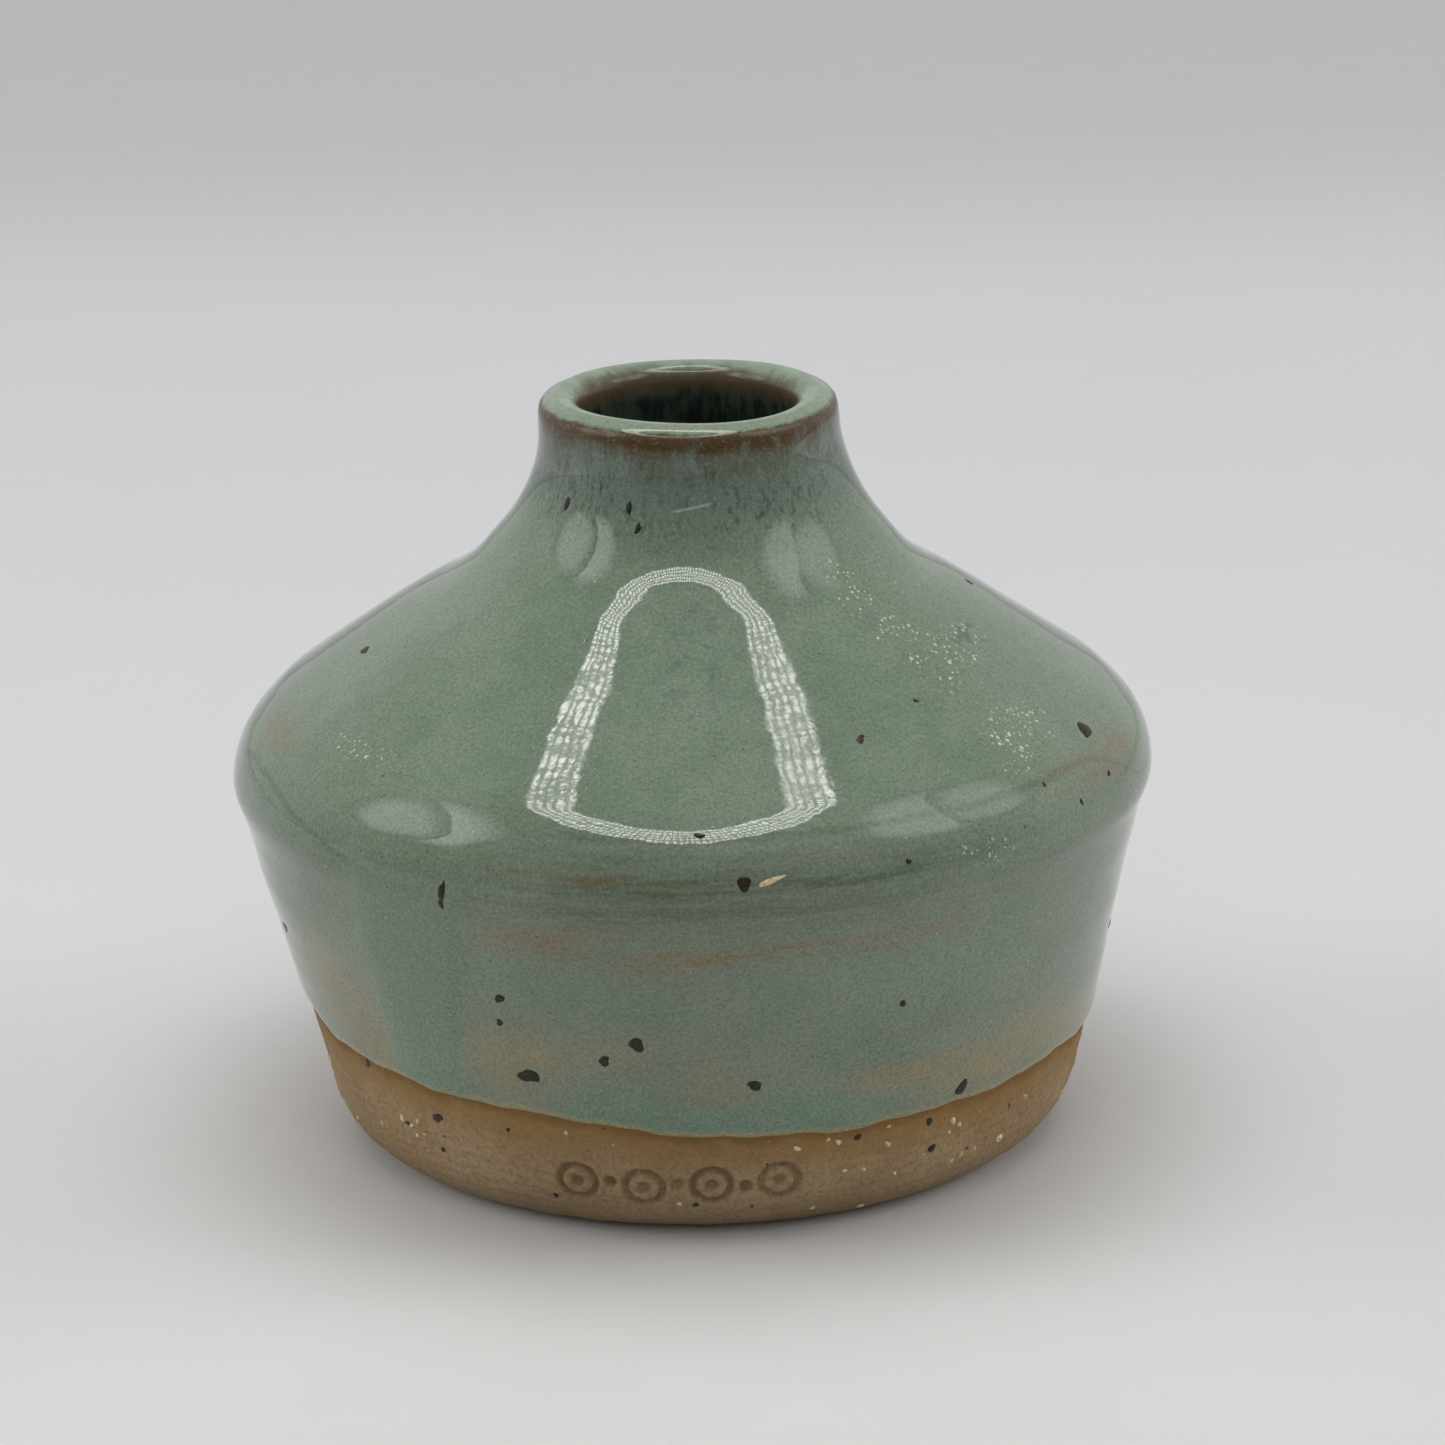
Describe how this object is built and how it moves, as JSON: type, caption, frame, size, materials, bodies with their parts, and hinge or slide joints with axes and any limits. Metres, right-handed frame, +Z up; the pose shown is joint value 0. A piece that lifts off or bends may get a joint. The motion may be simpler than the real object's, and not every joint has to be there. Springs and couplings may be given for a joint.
{
  "type": "ceramic bud vase",
  "caption": "Low round stoneware bud vase with a wide sloping shoulder, a short narrow neck, a glossy glaze and a bare clay foot.",
  "frame": {"origin": "on the standing surface, under the middle of the foot", "axes": "+Z up along the pot's axis, towards the mouth; -Y is the front, where the pressed marks are"},
  "size_m": [0.0881, 0.088, 0.0725],
  "materials": {
    "bare_stoneware": "matt, sandy, unglazed",
    "outer_glaze": "gloss sage to blue-green glaze, breaking brown where thin",
    "liner_glaze": "gloss dark green glaze",
    "iron_speck": "near-black melted iron",
    "feldspar": "pale matt grain"
  },
  "bodies": {
    "root": {"stoneware_body": "bare_stoneware", "outer_glaze": "outer_glaze", "liner_glaze": "liner_glaze", "iron_specks": "iron_speck", "feldspar_grains": "feldspar"}
  },
  "joints": []
}
